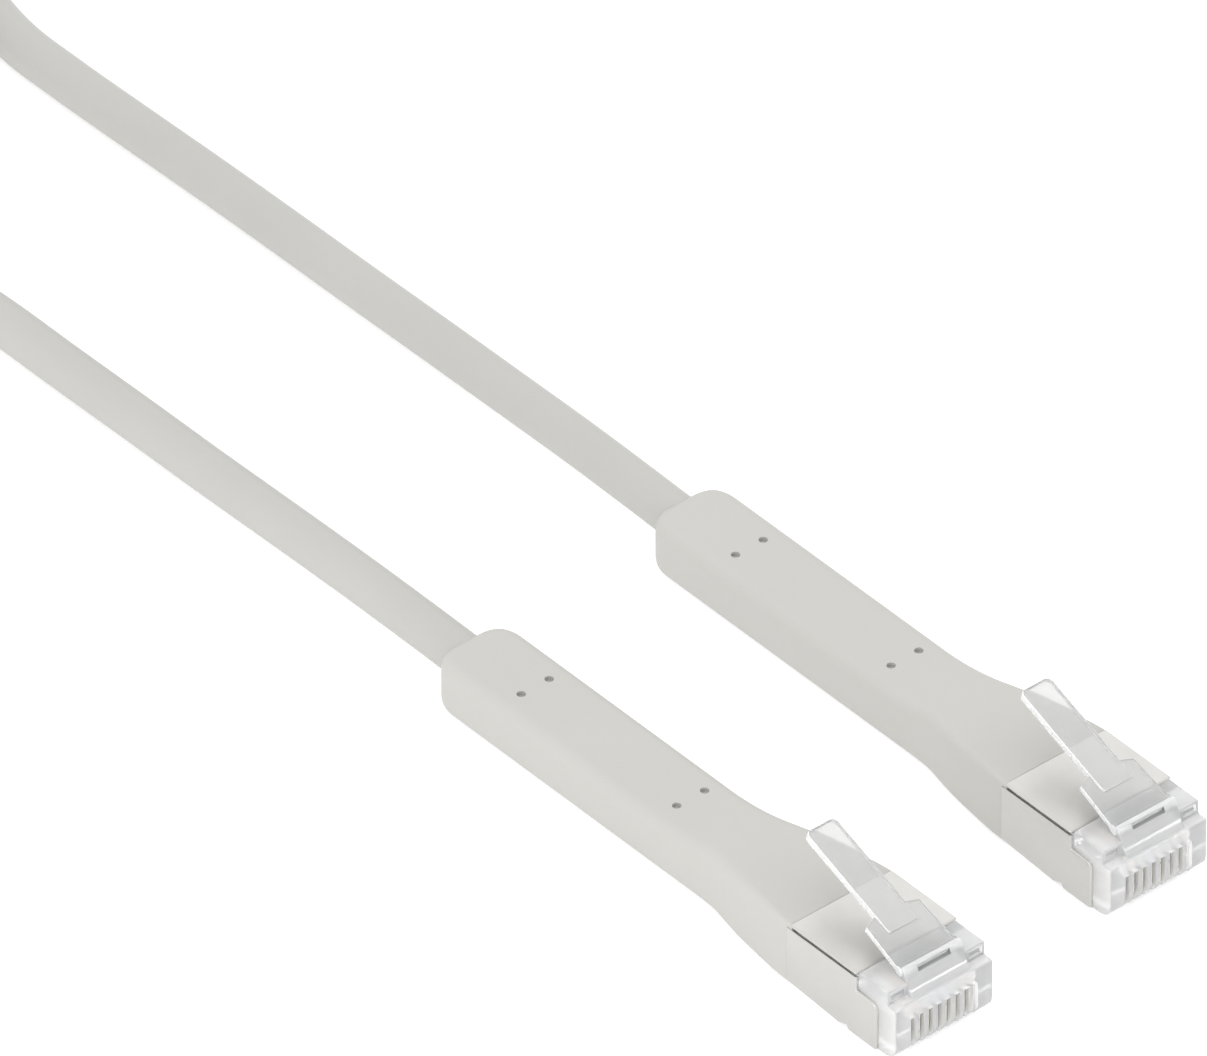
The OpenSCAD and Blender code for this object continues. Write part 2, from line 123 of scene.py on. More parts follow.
def ring_faces(rings, sides):
    """Quads between neighbouring closed rings of points: (i, k), (i, k + 1), (i + 1, k + 1), (i + 1, k),
    and one many-sided face on each end."""
    i, k = np.arange(rings - 1)[:, None] * sides, np.arange(sides)[None, :]
    n = (k + 1) % sides
    walls = np.stack([i + k, i + n, i + sides + n, i + sides + k], -1).reshape(-1, 4).tolist()
    return walls + [list(range(sides))[::-1], list(range((rings - 1) * sides, rings * sides))]


def shade(mesh):
    """Smooth faces, with a crisp edge wherever two of them meet at more than 40 degrees."""
    mesh.shade_smooth()
    mesh.set_sharp_from_angle(angle=math.radians(40))


def piece(name, points, faces):
    """A closed mesh of these points and faces. Its faces are turned round if the sum of the tetrahedra
    from the origin to each face, its signed volume, is below zero."""
    points = np.asarray(points, float).reshape(-1, 3)
    fans = np.array([(f[0], f[i], f[i + 1]) for f in faces for i in range(1, len(f) - 1)])
    a, b, c = points[fans[:, 0]], points[fans[:, 1]], points[fans[:, 2]]
    if np.einsum("ij,ij->i", a, np.cross(b, c)).sum() < 0:
        faces = [f[::-1] for f in faces]
    mesh = bpy.data.meshes.new(name)
    mesh.from_pydata(points.tolist(), [], faces)
    shade(mesh)
    made = bpy.data.objects.new(name, mesh)
    bpy.context.scene.collection.objects.link(made)
    return made


def tube(name, line, radius, sides):
    """A circle of the radius square to the line at each of its points. The circle's level direction is the
    line's direction crossed with +Z. The map's u goes round the tube and v is the length along it."""
    ahead = np.gradient(line, axis=0)
    ahead /= np.linalg.norm(ahead, axis=1)[:, None]
    level = np.cross(ahead, [0, 0, 1.0])
    level /= np.linalg.norm(level, axis=1)[:, None]
    across = np.cross(level, ahead)
    turn = np.linspace(0, 2 * math.pi, sides, endpoint=False)
    points = (line[:, None, :] + radius * np.cos(turn)[None, :, None] * level[:, None, :]
              + radius * np.sin(turn)[None, :, None] * across[:, None, :])
    made = piece(name, points, ring_faces(len(line), sides))
    corner = np.zeros(len(made.data.loops), int)
    made.data.loops.foreach_get("vertex_index", corner)
    run = np.concatenate([[0], np.cumsum(np.linalg.norm(np.diff(line, axis=0), axis=1))])
    u, v = (corner % sides) / sides, run[corner // sides]
    first = np.zeros(len(made.data.polygons), int)
    made.data.polygons.foreach_get("loop_start", first)
    lowest = np.minimum.reduceat(u, first)
    count = np.diff(np.append(first, len(corner)))
    wide = np.maximum.reduceat(u, first) - lowest > 0.6
    u = np.where(np.repeat(wide, count) & (u < 0.5), u + 1, u)
    made.data.uv_layers.new(name="around_and_along").data.foreach_set("uv", np.stack([u, v], 1).ravel())
    return made


class Level:
    """A shader number. Arithmetic with numbers or other levels adds Math nodes."""

    def __init__(self, tree, socket):
        self.tree, self.socket = tree, socket

    def _join(self, operation, first, second):
        node = self.tree.nodes.new("ShaderNodeMath")
        node.operation = operation
        for entry, value in zip(node.inputs, (first, second)):
            if isinstance(value, Level):
                self.tree.links.new(value.socket, entry)
            else:
                entry.default_value = value
        return Level(self.tree, node.outputs[0])

    def __add__(self, other):
        return self._join("ADD", self, other)

    def __sub__(self, other):
        return self._join("SUBTRACT", self, other)

    def __rsub__(self, other):
        return self._join("SUBTRACT", other, self)

    def __mul__(self, other):
        return self._join("MULTIPLY", self, other)

    def sign(self):
        return self._join("SIGN", self, 0.0)

    def sine(self):
        return self._join("SINE", self, 0.0)

    def above(self, level):
        return self._join("GREATER_THAN", self, level)

    def most(self, other):
        return self._join("MAXIMUM", self, other)

    __radd__, __rmul__ = __add__, __mul__


class Finish:
    """One material. What is the same all over is set on the shader's own sockets."""

    def __init__(self, name, **constants):
        self.material = bpy.data.materials.new(name)
        self.material.use_nodes = True
        self.tree = self.material.node_tree
        self.shader = self.tree.nodes["Principled BSDF"]
        for socket, value in constants.items():
            self.shader.inputs[socket.replace("_", " ")].default_value = value

    def node(self, kind, settings=None, inputs=None, output=0):
        """Any other node: its settings first, then the values or links of its sockets."""
        made = self.tree.nodes.new(kind)
        for key, value in (settings or {}).items():
            setattr(made, key, value)
        for key, value in (inputs or {}).items():
            if isinstance(value, Level):
                self.tree.links.new(value.socket, made.inputs[key])
            else:
                made.inputs[key].default_value = value
        return Level(self.tree, made.outputs[output])

    def grain(self, scale, detail=2.0, stretch=(1, 1, 1), source=3):
        """Noise on Object coordinates, or on the piece's own map with source 2, stretched along each axis."""
        place = self.node("ShaderNodeTexCoord", output=source)
        place = self.node("ShaderNodeMapping", inputs={"Vector": place, "Scale": stretch})
        return self.node("ShaderNodeTexNoise", inputs={"Vector": place, "Scale": scale, "Detail": detail})

    def blend(self, share, low, high):
        """The colour low where share is 0, high where it is 1."""
        return self.node("ShaderNodeMix", {"data_type": "RGBA"}, {0: share, 6: (*low, 1), 7: (*high, 1)}, 2)

    def feed(self, **values):
        """Links what varies over the surface to the shader."""
        for socket, value in values.items():
            self.tree.links.new(value.socket, self.shader.inputs[socket.replace("_", " ")])

    def bump(self, height, distance):
        """Presses the height into the surface, to this depth in metres."""
        pressed = {"Height": height, "Distance": distance, "Strength": 1.0}
        self.feed(Normal=self.node("ShaderNodeBump", inputs=pressed))

    def on(self, made):
        made.data.materials.clear()
        made.data.materials.append(self.material)


jacket = Finish("cord_jacket", Specular_IOR_Level=0.35, IOR=1.5)
drawn = jacket.grain(6.0, 3.0, (14, 900, 1), source=2)
cloudy = jacket.grain(90.0, 2.0)
jacket.feed(Base_Color=jacket.blend(cloudy, (0.374, 0.37, 0.352), (0.402, 0.398, 0.379)),
            Roughness=0.42 + drawn * 0.12)
jacket.bump(jacket.grain(2600.0, 2.0) + drawn * 0.5, 0.000012)

lead_in = [[0.0018, 0, 0]]
start_b, start_a = route_b[:1] + lead_in, route_a[:1] + lead_in
centre_line = smooth_line(np.concatenate([start_b, route_b, coil_line(), route_a[::-1], start_a]), 0.001)
cord = tube("cord", centre_line, cord_radius, 32)
jacket.on(cord)
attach(cord, "cable")
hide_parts("cord_a", "cord_b", "cord_coil")


# ---- Tie ----
# A woven black strap goes once round the coil's bundle and laps over itself on top, so the
# turns stay together. Its tail is held flat by its own hooks.
def strap_line():
    """The strap's middle in the radial plane: the outline of the hull of the five strands, as strand centre
    plus an arm at the angle for the strand that lies furthest that way. The last part lies on the first."""
    lanes = np.array([[25.75, 0], [21.5, 0], [17.25, 0], [19.375, 3.681], [23.625, 3.681]])
    angle = np.arange(80, 520, 4.0)
    facing = np.radians(angle)
    way = np.stack([np.cos(facing), np.sin(facing)], 1)
    lap = np.clip((angle - 425) / 30, 0, 1)
    reach, lap_rise = 2.36, 0.5
    arm = reach + lap_rise * lap * lap * (3 - 2 * lap)
    return lanes[np.argmax(way @ lanes.T, axis=1)] + arm[:, None] * way, way


loop, way = strap_line()
half_width, half_thick, sides = 2.6, 0.22, 20
turn = np.linspace(0, 2 * math.pi, sides, endpoint=False)
edge_y = half_width * np.sign(np.cos(turn)) * np.abs(np.cos(turn)) ** 0.35
edge_n = half_thick * np.sign(np.sin(turn)) * np.abs(np.sin(turn)) ** 0.6
radial = loop[:, None, 0] + way[:, None, 0] * edge_n[None, :]
height = coil_z + loop[:, None, 1] + way[:, None, 1] * edge_n[None, :]
strap_points = np.stack([coil_x - radial, np.broadcast_to(edge_y, radial.shape), height], -1) * 0.001
tie = piece("coil_strap", strap_points, ring_faces(len(loop), sides))
webbing = Finish("strap_webbing", Specular_IOR_Level=0.3)
weave = webbing.node("ShaderNodeTexWave", {"bands_direction": "Y"}, {
    "Vector": webbing.node("ShaderNodeTexCoord", output=3), "Scale": 900.0, "Distortion": 2.0, "Detail": 2.0})
fluff = webbing.grain(3000.0, 3.0)
webbing.feed(Base_Color=webbing.blend(weave * 0.6 + fluff * 0.4, (0.012, 0.012, 0.014), (0.045, 0.045, 0.05)),
             Roughness=0.75 + fluff * 0.2)
webbing.bump(weave + fluff * 0.5, 0.00006)
webbing.on(tie)
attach(tie, "cable")
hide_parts("coil_tie")


# ---- Boots ----
# Each boot is one soft moulding: a flat bar round the cord that widens and rises to the
# plug's size. Four blind holes are left in its top where pins held the cord in the mould.
# The skin is made in four lengths that meet at the middle of each bending link.
ends = {"a": (-0.0307, -0.0134), "b": (-0.0332, 0.0134)}


def boot_sizes(x):
    """Half width, underside, top and edge radius at a distance x from the rear end, in mm. Each is read from
    a few stations, then averaged over 2 mm so that no station shows as a crease."""
    fine = np.arange(-4, 58, 0.1)
    stations = np.array([0, 32, 34.3, 36, 38, 39.3, 41.5, 43.1, 44.7, 46.3, 47.8, 49.4, 50.4])
    widths = np.array([4.2, 4.2, 4.2, 4.2, 4.26, 4.5, 4.9, 5.09, 5.25, 5.47, 5.68, 5.82, 5.84])
    lows = np.array([0, 0, 0, 0, 0, 0, 0, 0, 0.04, 0.15, 0.29, 0.44, 0.55])
    tops = np.array([5.6, 5.6, 5.8, 6.08, 6.46, 6.6, 6.78, 6.86, 6.94, 7.0, 7.06, 7.1, 7.12])
    edges = np.array([1.2, 1.2, 1.2, 1.2, 1.18, 1.1, 0.95, 0.83, 0.71, 0.6, 0.49, 0.37, 0.3])
    window = np.hanning(21)[1:-1]
    found = []
    for values in (widths, lows, tops, edges):
        smooth = np.convolve(np.interp(fine, stations, values), window / window.sum(), mode="same")
        found.append(np.interp(x, fine, smooth))
    return found


def soft_ring(corner, wide, tall):
    """A rounded rectangle in unit numbers, counter-clockwise: how far each point lies along the two straight
    directions, from -1 to 1, and the direction of its arm. A point is side times (half size - r), plus r
    times arm."""
    turns = np.array([(1, 1), (-1, 1), (-1, -1), (1, -1)])
    side, arm = [], []
    for q in range(4):
        here, onward = turns[q], turns[(q + 1) % 4]
        angle = np.radians(np.linspace(q * 90, q * 90 + 90, corner + 1))
        share = np.linspace(0, 1, (wide, tall)[q % 2] + 1)[1:-1, None]
        arc = np.stack([np.cos(angle), np.sin(angle)], 1)
        side += [np.tile(here, (len(arc), 1)), here + (onward - here) * share]
        arm += [arc, np.tile(arc[-1], (len(share), 1))]
    return np.concatenate(side), np.concatenate(arm)


def boot_skin(name, x, end, close_front):
    """Rounded rectangles at the stations x. Behind 3 mm the half width draws in along a quarter circle, and
    behind 1.6 mm so does the half height. In front the sides and underside draw in by a sheet's thickness from
    49.78 mm on, below the fold, and the top by 0.1 mm from 50.14 mm on."""
    half, low, top, edge = boot_sizes(x)
    plan_r, crown_r, sheet, dip, fold = 3.25, 1.85, 0.27, 0.1, 6.4
    plan, crown = np.clip(3 - x, 0, plan_r), np.clip(1.6 - x, 0, crown_r)
    half = half - plan_r + np.sqrt(plan_r**2 - plan**2)
    tall = (top - low) / 2 - crown_r + np.sqrt(crown_r**2 - crown**2)
    edge = np.minimum(edge, 0.95 * np.minimum(half, tall))
    middle = (top + low) / 2
    side, arm = soft_ring(10, 14, 8)
    y = side[None, :, 0] * (half - edge)[:, None] + edge[:, None] * arm[None, :, 0]
    z = middle[:, None] + side[None, :, 1] * (tall - edge)[:, None] + edge[:, None] * arm[None, :, 1]
    if close_front:
        wall, crest = (np.clip((x - start) / 0.12, 0, 1)[:, None] ** 2 for start in (49.78, 50.14))
        y -= side[None, :, 0] * wall * sheet * (z < fold)
        z += wall * sheet * (z < 1) - crest * dip * (z > fold)
    points = np.stack([np.broadcast_to(x[:, None], y.shape), y, z], -1) * 0.001
    points += [ends[end][0], ends[end][1], 0]
    return piece(name, points, ring_faces(len(x), len(side)))


def settle(made):
    """Turns the modifiers of an object into its mesh."""
    seen = made.evaluated_get(bpy.context.evaluated_depsgraph_get())
    mesh = bpy.data.meshes.new_from_object(seen)
    made.modifiers.clear()
    made.data = mesh


def carve(made, tools, operation="DIFFERENCE"):
    """Takes the tools away from an object, or joins them to it, one after the other."""
    for tool in tools:
        cut = made.modifiers.new("cut", "BOOLEAN")
        cut.operation, cut.object, cut.solver = operation, tool, "EXACT"
        bpy.context.view_layer.update()
        settle(made)
        bpy.data.objects.remove(tool)
    shade(made.data)


def pin_hole(x, y, end):
    """A short round rod that stands through the boot's top, 0.84 mm across, from 0.4 mm below it."""
    radius, sides = 0.42, 24
    turn = np.linspace(0, 2 * math.pi, sides, endpoint=False)
    foot, head = 5.2, 6.4
    rings = [np.stack([x + radius * np.cos(turn), y + radius * np.sin(turn), z + 0 * turn], 1)
             for z in (foot, head)]
    return piece("pin_hole", np.array(rings) * 0.001 + [*ends[end], 0], ring_faces(2, sides))


boot_tpe = Finish("boot_moulding", Specular_IOR_Level=0.35, IOR=1.48)
pores = boot_tpe.grain(1500.0, 3.0)
swirl = boot_tpe.grain(60.0, 2.0)
boot_tpe.feed(Base_Color=boot_tpe.blend(swirl, (0.408, 0.402, 0.382), (0.432, 0.426, 0.405)),
              Roughness=0.5 + pores * 0.14)
boot_tpe.bump(pores + swirl * 0.3, 0.00002)

# The first and last of the cuts lie beyond the boot's ends. All are in mm from its rear.
cuts = [-1, 17.5, 24.5, 31.5, 51]
stations = np.concatenate([
    -0.25 + 3.25 * (1 - np.cos(np.radians(np.arange(0, 91, 7.5)))), np.arange(3.5, 49.6, 0.7),
    [49.78, 49.82, 49.86, 49.9, 50.14, 50.18, 50.22, 50.26, 50.4]])
pins = {0: (9.5, (1.6, -1.6)), 2: (30, (1.82, -1.38))}
stands_for = [["boot_rear"], ["boot_link_1"], ["boot_link_2", "boot_link_3"], ["boot_front"]]
for end, (x0, y0) in ends.items():
    for k in range(4):
        here = stations[(stations > cuts[k] + 0.2) & (stations < cuts[k + 1] - 0.2)]
        first, last = [cuts[k]] if k > 0 else [], [cuts[k + 1]] if k < 3 else []
        skin = boot_skin(f"boot_skin_{k + 1}_{end}", np.concatenate([first, here, last]), end, k == 3)
        if k in pins:
            carve(skin, [pin_hole(pins[k][0], y, end) for y in pins[k][1]])
        boot_tpe.on(skin)
        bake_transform(skin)
        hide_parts(*[f"{node}_{end}" for node in stands_for[k]])


# ---- Shield ----
# One shell of plated sheet, stamped and folded round the clear plug: the top plate stops
# short, the side plates run on as cheeks. Its neck is crimped on the cord inside the boot.
def rounded(corners, steps=4):
    """An outline with round corners, from rows of two coordinates and a radius. Each corner becomes an arc about
    the point on its bisector that lies radius / sin(half angle) away, turned evenly from side to side."""
    corners = np.asarray(corners, float)
    p, r = corners[:, :2], corners[:, 2:]
    back, on = np.roll(p, 1, 0) - p, np.roll(p, -1, 0) - p
    back, on = (v / np.linalg.norm(v, axis=1)[:, None] for v in (back, on))
    half = np.arccos(np.clip((back * on).sum(1), -1, 1))[:, None] / 2
    middle = (back + on) / np.linalg.norm(back + on, axis=1)[:, None]
    centre = p + middle * r / np.sin(half)
    first, last = (p + v * r / np.tan(half) - centre for v in (back, on))
    sweep, s = (math.pi - 2 * half)[:, :, None], np.linspace(0, 1, steps + 1)[None, :, None]
    arc = (np.sin((1 - s) * sweep) * first[:, None] + np.sin(s * sweep) * last[:, None]) / np.sin(sweep)
    return (centre[:, None] + arc).reshape(-1, 2)


def soft_slab(name, corners, low, high, edge=0, plan=False):
    """A side outline (x, z) carried across from y = low to high, or with plan an outline (x, y) from z = low to
    high. Towards each side it draws in along its own normals by edge times (1 - cosine), a quarter circle."""
    outline = rounded(corners)
    x, h = outline.T
    if (x * np.roll(h, -1) - np.roll(x, -1) * h).sum() < 0:
        outline = outline[::-1]
    ahead = np.roll(outline, -1, 0) - np.roll(outline, 1, 0)
    ahead /= np.linalg.norm(ahead, axis=1)[:, None]
    outward = np.stack([ahead[:, 1], -ahead[:, 0]], 1)
    quarter = np.radians([90, 60, 30, 0]) if edge else np.zeros(1)
    off = edge * (1 - np.cos(np.concatenate([quarter, quarter[::-1]])))
    place = edge * (1 - np.sin(quarter))
    place = np.concatenate([low + place, high - place[::-1]])
    flat = outline[None] - off[:, None, None] * outward[None]
    across = np.broadcast_to(place[:, None], flat.shape[:2])
    points = np.stack([flat[..., 0], flat[..., 1], across] if plan else [flat[..., 0], across, flat[..., 1]], -1)
    return piece(name, points, ring_faces(len(place), len(outline)))


def set_down(made, end):
    """A copy of a piece worked out in millimetres from the rear of its boot, in metres at that end. Each large
    flat face gets its true normal, so that only its rounded edges shade off."""
    copy = bpy.data.objects.new(f"{made.name}_{end}", made.data.copy())
    copy.data.transform(Matrix.Translation((*ends[end], 0)) @ Matrix.Scale(0.001, 4))
    bpy.context.scene.collection.objects.link(copy)
    copy.modifiers.new("shading", "WEIGHTED_NORMAL").keep_sharp = True
    return copy


def box_corners(x0, z0, x1, z1, r=0.02):
    return [[x0, z0, r], [x1, z0, r], [x1, z1, r], [x0, z1, r]]


def faces_of(made, end):
    """The middle of each face, in millimetres from the rear of its boot, and how squarely it looks along each
    axis, from 0 to 1: the size of its normal's x, y and z."""
    middles, facing = np.zeros((2, len(made.data.polygons) * 3))
    made.data.polygons.foreach_get("center", middles)
    made.data.polygons.foreach_get("normal", facing)
    return (middles.reshape(-1, 3) - [*ends[end], 0]).T * 1000, abs(facing.reshape(-1, 3)).T


def second_finish(made, finish, chosen):
    """Gives the chosen faces of a piece another finish than the rest."""
    made.data.materials.append(finish.material)
    made.data.polygons.foreach_set("material_index", chosen.astype(int))


plated = Finish("plated_sheet", Metallic=0.9, Specular_IOR_Level=0.5)
brushed = plated.grain(700.0, 3.0, (1, 6, 6))
tarnish = plated.grain(260.0, 3.0)
plated.feed(Base_Color=plated.blend(tarnish, (0.485, 0.477, 0.46), (0.53, 0.522, 0.505)),
            Roughness=0.33 + brushed * 0.16)
plated.bump(brushed + tarnish * 0.4, 0.0000015)

outer, inner, beyond = 5.84, 5.6, 7
shell_side = [[49, 0.643, 0.25], [56.4, 0.15, 3], [58.8, 0.08, 1], [61.55, 0.05, 0.3], [61.55, 5.05, 0.5],
              [58.9, 5.15, 0.05], [58.9, 7.1, 0.25], [49, 7.1, 0.25]]
shell = soft_slab("shield_shell", shell_side, -outer, outer, 0.22)
hollow_side = [[50.65, 0.8, 0.02], [56.4, 0.4, 0.5], [62.5, 0.4, 0.02], [62.5, 6.86, 0.02], [50.65, 6.86, 0.02]]
notch_side = [[56.25, -1, 0.05], [56.25, 0.15, 0.05], [57.7, 0.66, 0.1], [58.1, 0, 0.05], [58.1, -1, 0.05]]
fold_side = box_corners(50.22, 6.6, 59.5, 6.94)
carve(shell, [
    soft_slab("rear_cut", box_corners(48, -1, 49.8, 9), -beyond, beyond),
    soft_slab("rear_top_cut", box_corners(48.5, 6.6, 50.26, 8), -beyond, beyond),
    soft_slab("boot_seat", box_corners(48.5, 0.78, 50.4, 7), -inner, inner),
    soft_slab("hollow", hollow_side, -inner, inner),
    soft_slab("floor_end", box_corners(57.5, -1, 63, 3), -inner, inner),
    soft_slab("window", box_corners(58.9, 3, 63, 8), -inner, inner),
    soft_slab("notch", notch_side, -beyond, beyond),
    soft_slab("fold_gap", fold_side, -beyond, -5.3),
    soft_slab("fold_gap", fold_side, 5.3, beyond),
])
carve(shell, [soft_slab("neck", box_corners(44, 1, 50.6, 6.25, 0.35), -4.7, 4.7, 0.3)], "UNION")
carve(shell, [soft_slab("neck_bore", box_corners(43, 1.25, 52, 6, 0.25), -4.45, 4.45, 0.2)])
# The same plated sheet, painted lighter, goes on every face whose middle lies within the limits below: painted
# light on the faces inside the shell, and also on the long sloping face of its underside.
painted_light_plating = Finish("plating_painted_light", Metallic=0.9)
painted_light_grain = painted_light_plating.grain(500.0, 2.0)
painted_light_plating.feed(Base_Color=painted_light_plating.blend(painted_light_grain, (0.86, 0.86, 0.85), (0.92, 0.92, 0.91)),
            Roughness=0.25 + painted_light_grain * 0.15)
for end in ends:
    made = set_down(shell, end)
    plated.on(made)
    (x, y, z), _ = faces_of(made, end)
    # These faces get the painted light.
    second_finish(made, painted_light_plating, (x > 50.5) & (abs(y) < 5.62) & (z > 0.35) & (z < 6.9))
    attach(made, f"plug_{end}")
    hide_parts(f"shield_{end}")
bpy.data.objects.remove(shell)


# ---- Clear plug ----
# The plug itself is one clear moulding. Its nose has a slot for each blade with a rib
# between, an ear on either side, and a wall with a window that the latch grows from.
clear = Finish("clear_moulding", Transmission_Weight=0.66, IOR=1.4, Specular_IOR_Level=0.5)
ripple = clear.grain(900.0, 2.0)
clear.feed(Base_Color=clear.blend(ripple, (0.98, 0.985, 0.99), (1.0, 1.0, 1.0)), Roughness=0.03 + ripple * 0.05)
clear.bump(ripple, 0.00001)

nose_side = [[50.675, 0.825, 0.18], [56.4, 0.425, 1], [58.93, 0.425, 0.03], [58.93, 0.06, 0.16],
             [63.88, 0.04, 1.45], [63.88, 5.65, 0.22], [62.8, 5.65, 0.1], [62.8, 7.05, 0.22],
             [58.93, 7.05, 0.16], [58.93, 6.82, 0.03], [50.675, 6.82, 0.18]]
root_side = [[61.8, 6.4, 0.18], [61.8, 8.2, 0.18], [62.25, 8.2, 0.18], [62.75, 7.2, 0.8],
             [63.0, 6.4, 0.8], [63.84, 5.1, 0.6], [63.84, 4.4, 0.18], [62.5, 4.4, 0.18]]
nose = soft_slab("clear_plug", nose_side, -5.56, 5.56, 0.14)
root_half = 3.32
carve(nose, [soft_slab("root", root_side, -root_half, root_half, 0.14)], "UNION")
hinge_x, hinge_z, socket_r, sides = 61.6, 7.6, 0.55, 32
turn = np.linspace(0, 2 * math.pi, sides, endpoint=False)
rim = hinge_x + socket_r * np.cos(turn), hinge_z + socket_r * np.sin(turn)
socket = np.stack([np.stack([rim[0], y + 0 * turn, rim[1]], 1) for y in (-4, 4)])
carve(nose, [
    piece("socket", socket, ring_faces(2, sides)),
    soft_slab("window", box_corners(62.05, 7.5, 64, 7.98, 0.1), -1.85, 1.85),
    soft_slab("ear", box_corners(62.45, 5.95, 64, 6.7, 0.1), -5.2, -3.7),
    soft_slab("ear", box_corners(62.45, 5.95, 64, 6.7, 0.1), 3.7, 5.2),
    soft_slab("comb", box_corners(59.8, -1, 64.5, 4.0, 0.1), -3.82, 3.82),
    soft_slab("wire_way", box_corners(50, 3.95, 62.7, 4.75, 0.1), -4.05, 4.05),
    soft_slab("bar_way", box_corners(50, 3.55, 58.15, 5.15, 0.1), -4.28, 4.28),
])
rib_side = [[59.5, 0.6, 0.13], [60.2, 0.07, 0.13], [63.84, 0.05, 1.42], [63.84, 4.3, 0.13],
            [62.9, 4.3, 0.13], [62.8, 3.9, 0.05], [59.5, 3.9, 0.13]]
rib_pitch, rib_half = 1.02, 0.26
for y in rib_pitch * np.arange(-3, 4):
    carve(nose, [soft_slab("rib", rib_side, y - rib_half, y + rib_half, 0.1)], "UNION")
# The window's inner faces get a dull dark grey: painted shade inside the latch's window.
shaded = Finish("window_painted_shade", Specular_IOR_Level=0.3)
dull = shaded.grain(1500.0, 2.0)
shaded.feed(Base_Color=shaded.blend(dull, (0.27, 0.275, 0.27), (0.34, 0.345, 0.34)),
            Roughness=0.5 + dull * 0.2)
for end in ends:
    made = set_down(nose, end)
    clear.on(made)
    (x, y, z), facing = faces_of(made, end)
    square_on = facing.max(axis=0) > 0.99
    # Only the faces square on inside the window get the painted shade.
    second_finish(made, shaded, square_on & (x > 62.0) & (x < 62.95) & (abs(y) < 1.88) & (z > 7.45) & (z < 8.02))
    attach(made, f"plug_{end}")
    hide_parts(f"plug_housing_{end}")
bpy.data.objects.remove(nose)


# ---- Latch ----
# A springy clear lever, moulded with the plug. It rises backwards from the root: first a wide
# part that locks in the jack, then, past two sloping shoulders, a narrow thumb part.
def latch_lever():
    """Two outlines seen from above, given thickness, and a round bar across them at the hinge line. All lie
    back along -x from the hinge, and are then turned up by 21 degrees about it."""
    wide = [[0.2, -3.3, 0.15], [0.2, 3.3, 0.15], [-4.97, 3.08, 0.2],
            [-5.5, 1.68, 0.2], [-5.5, -1.68, 0.2], [-4.97, -3.08, 0.2]]
    lever = soft_slab("latch_lever", wide, -0.4, 0.2, 0.13, plan=True)
    thumb = [[-3.4, -1.7, 0.3], [-15.4, -1.7, 0.6], [-15.4, 1.7, 0.6], [-3.4, 1.7, 0.3]]
    knuckle = box_corners(-0.5, -0.5, 0.5, 0.5, 0.4)
    carve(lever, [soft_slab("thumb", thumb, -0.39, 0.4, 0.13, plan=True),
                  soft_slab("knuckle", knuckle, -root_half, root_half, 0.13)], "UNION")
    lever.data.transform(Matrix.Translation((hinge_x, 0, hinge_z)) @ Matrix.Rotation(math.radians(21), 4, "Y"))
    return lever


springy = Finish("latch_moulding", Transmission_Weight=0.72, IOR=1.45, Specular_IOR_Level=0.5)
flow = springy.grain(700.0, 2.0)
springy.feed(Base_Color=springy.blend(flow, (0.69, 0.695, 0.69), (0.74, 0.745, 0.74)),
             Roughness=0.06 + flow * 0.06)
springy.bump(flow, 0.000008)
# The lever's side faces are rougher, and painted lighter and less clear: a painted highlight along its edges.
rough_and_highlight = Finish("latch_edge_painted_highlight", Transmission_Weight=0.45, IOR=1.45)
matt = rough_and_highlight.grain(900.0, 2.0)
rough_and_highlight.feed(Base_Color=rough_and_highlight.blend(matt, (0.93, 0.935, 0.935), (0.98, 0.985, 0.985)),
             Roughness=0.2 + matt * 0.15)
lever = latch_lever()
for end in ends:
    made = set_down(lever, end)
    springy.on(made)
    _, facing = faces_of(made, end)
    # The side faces get the painted highlight.
    second_finish(made, rough_and_highlight, facing[1] > 0.3)
    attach(made, f"lever_{end}")
    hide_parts(f"latch_{end}")
bpy.data.objects.remove(lever)


# ---- What shows through the clear plug ----
# Gold-flashed blades stand in the slots, and the eight wires lie in a row above them, held
# in order by a white bar. Behind them the jacket, its folded screen and a crimped ring.
gold = Finish("blade_gold", Metallic=0.75)
rub = gold.grain(1500.0, 2.0, (4, 1, 1))
gold.feed(Base_Color=gold.blend(rub, (0.90, 0.87, 0.78), (0.94, 0.92, 0.85)), Roughness=0.22 + rub * 0.14)
bar_white = Finish("bar_white", Specular_IOR_Level=0.4)
cloud = bar_white.grain(400.0, 2.0)
bar_white.feed(Base_Color=bar_white.blend(cloud, (0.78, 0.78, 0.74), (0.84, 0.84, 0.80)),
               Roughness=0.4 + cloud * 0.15)
braid = Finish("screen_braid", Metallic=0.9)
strands = braid.node("ShaderNodeTexWave", {"bands_direction": "DIAGONAL"}, {
    "Vector": braid.node("ShaderNodeTexCoord", output=3), "Scale": 1200.0, "Distortion": 3.0})
braid.feed(Base_Color=braid.blend(strands, (0.42, 0.41, 0.39), (0.72, 0.71, 0.69)),
           Roughness=0.35 + strands * 0.2)
braid.bump(strands, 0.00003)


def wire_finish(name, tint, middle, plain_side):
    """One wire of the pair is all in its colour, and the other is white with short rings of that colour. A
    wire is told by its place across its plug: y less that of the plug's own middle."""
    made = Finish(name, Specular_IOR_Level=0.4)
    place = made.node("ShaderNodeTexCoord", output=3)
    along, y = (made.node("ShaderNodeSeparateXYZ", inputs={"Vector": place}, output=k) for k in (0, 1))
    plug_middle = y.sign() * ends["b"][1]
    coloured = (y - plug_middle - middle) * plain_side
    share = coloured.above(0.0).most((along * 4200.0).sine().above(0.72))
    fuzz = made.grain(1200.0, 2.0)
    made.feed(Base_Color=made.blend(share, (0.80, 0.79, 0.76), tint), Roughness=0.4 + fuzz * 0.2)
    return made


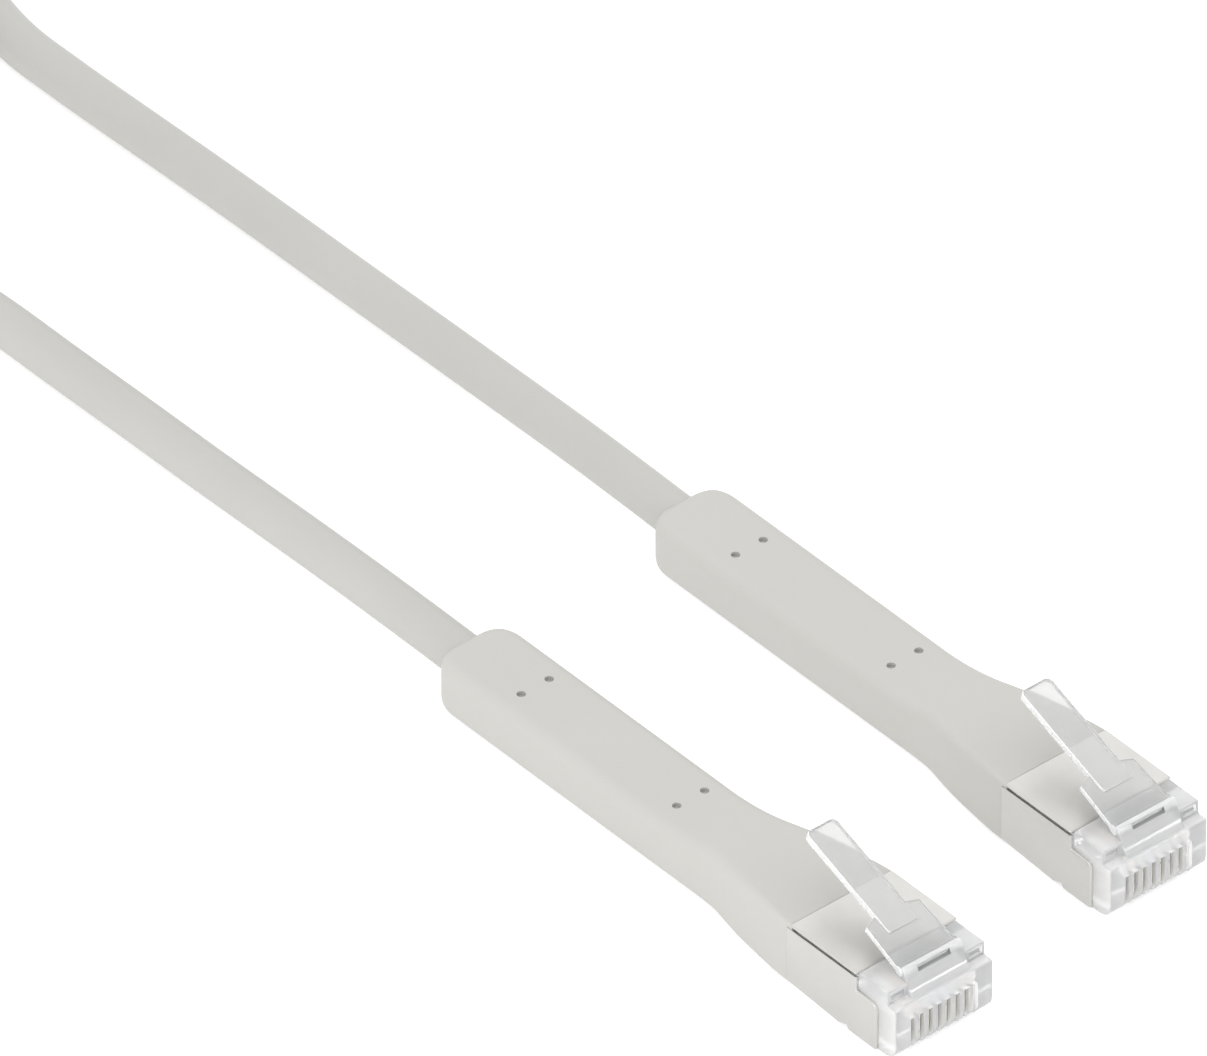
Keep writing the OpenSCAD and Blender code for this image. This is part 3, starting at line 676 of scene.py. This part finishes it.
wires = {
    "orange": wire_finish("wire_orange", (0.88, 0.70, 0.56), -0.00306, 1),
    "green": wire_finish("wire_green", (0.55, 0.72, 0.60), 0.0, 1),
    "blue": wire_finish("wire_blue", (0.56, 0.64, 0.80), 0.0, -1),
    "brown": wire_finish("wire_brown", (0.74, 0.58, 0.54), 0.00306, 1),
}
for end in ends:
    finishes = {"contact_blades": gold, "load_bar": bar_white, "screen_collar": braid, "ferrule": plated}
    finishes |= {f"{colour}_pair": finish for colour, finish in wires.items()}
    finishes |= {f"jacket_{place}": jacket for place in ("rear", "link_1", "link_2", "link_3", "front")}
    for node, finish in finishes.items():
        finish.on(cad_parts[f"{node}_{end}"])


# ---- Floor and light ----
# A plain white table under an even white sky, with a big soft lamp on the camera's side and
# a weaker one behind, which the plated sheet mirrors.
reach, underside, top = 3, -0.02, -0.00002
slab = [[[-reach, -reach, z], [reach, -reach, z], [reach, reach, z], [-reach, reach, z]]
        for z in (underside, top)]
floor = piece("table_top", np.array(slab), ring_faces(2, 4))
table_white = Finish("table_white", Base_Color=(0.7, 0.7, 0.7, 1), Roughness=0.9, Specular_IOR_Level=0.1,
                     Emission_Color=(1, 1, 1, 1), Emission_Strength=0.45)
table_white.on(floor)
sky = bpy.data.worlds.new("sky")
sky.use_nodes = True
glow = sky.node_tree.nodes["Background"]
height = sky.node_tree.nodes.new("ShaderNodeSeparateXYZ")
sky.node_tree.links.new(sky.node_tree.nodes.new("ShaderNodeTexCoord").outputs["Generated"], height.inputs[0])
glow.inputs["Color"].default_value = (1, 1, 1, 1)
rise = Level(sky.node_tree, height.outputs[2])
sky.node_tree.links.new((rise * 0.1 + 1.3).socket, glow.inputs["Strength"])
bpy.context.scene.world = sky
lamps = (("lamp", (0.15, -0.7, 0.4), 0.4, 1.6), ("back_lamp", (-0.47, 0.41, 0.5), 0.5, 0.25))
for name, stand, size, power in lamps:
    lamp = bpy.data.objects.new(name, bpy.data.lights.new(name, "AREA"))
    lamp.data.shape, lamp.data.size, lamp.data.energy = "DISK", size, power
    stand = Vector(stand)
    lamp.matrix_world = Matrix.Translation(stand) @ stand.to_track_quat("Z", "Y").to_matrix().to_4x4()
    bpy.context.scene.collection.objects.link(lamp)
bpy.context.scene.view_settings.view_transform = "Standard"
for limit in ("max_bounces", "glossy_bounces", "transmission_bounces"):
    setattr(bpy.context.scene.cycles, limit, 24)
